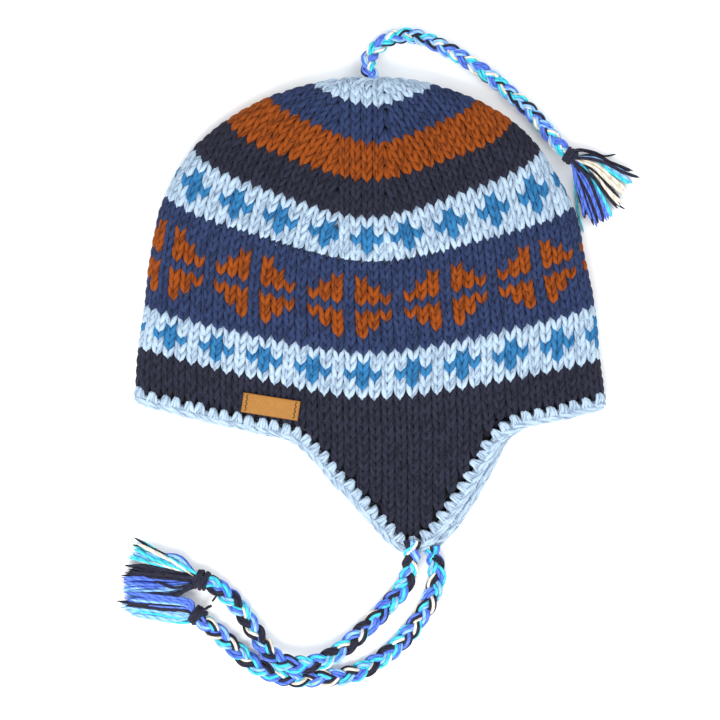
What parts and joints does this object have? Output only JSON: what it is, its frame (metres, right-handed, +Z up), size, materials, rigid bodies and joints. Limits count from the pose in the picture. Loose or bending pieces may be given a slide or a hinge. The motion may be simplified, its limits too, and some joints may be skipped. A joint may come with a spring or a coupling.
{
  "type": "chullo hat",
  "caption": "Thick hand-knitted chullo hat lying flat, with two ear flaps, crocheted edging, a bare leather label, two braided ties and a top braid, each with a tassel.",
  "frame": {"origin": "middle of the hat's underside, with the ties, braid and tassels left out", "axes": "+Z up from the surface that the hat lies on, +Y towards the crown, -Y towards the ear flaps"},
  "size_m": [0.2979, 0.381, 0.034],
  "materials": {
    "navy_wool": "thick knitted wool, colour-work in pale blue, blue and rust",
    "dark_wool": "thick knitted wool, dark navy",
    "pale_wool": "crocheted wool, pale blue",
    "tan_leather": "matte tan leather",
    "braid_wool": "braided wool in several blues and cream"
  },
  "bodies": {
    "root": {"hat_body": "navy_wool", "ear_flap_front": "dark_wool", "ear_flap_back": "dark_wool", "rim_edging": "pale_wool", "label": "tan_leather", "top_braid": "braid_wool", "top_tassel": "braid_wool", "front_tie": "braid_wool", "front_tassel": "braid_wool", "back_tie": "braid_wool", "back_tassel": "braid_wool"}
  },
  "joints": []
}
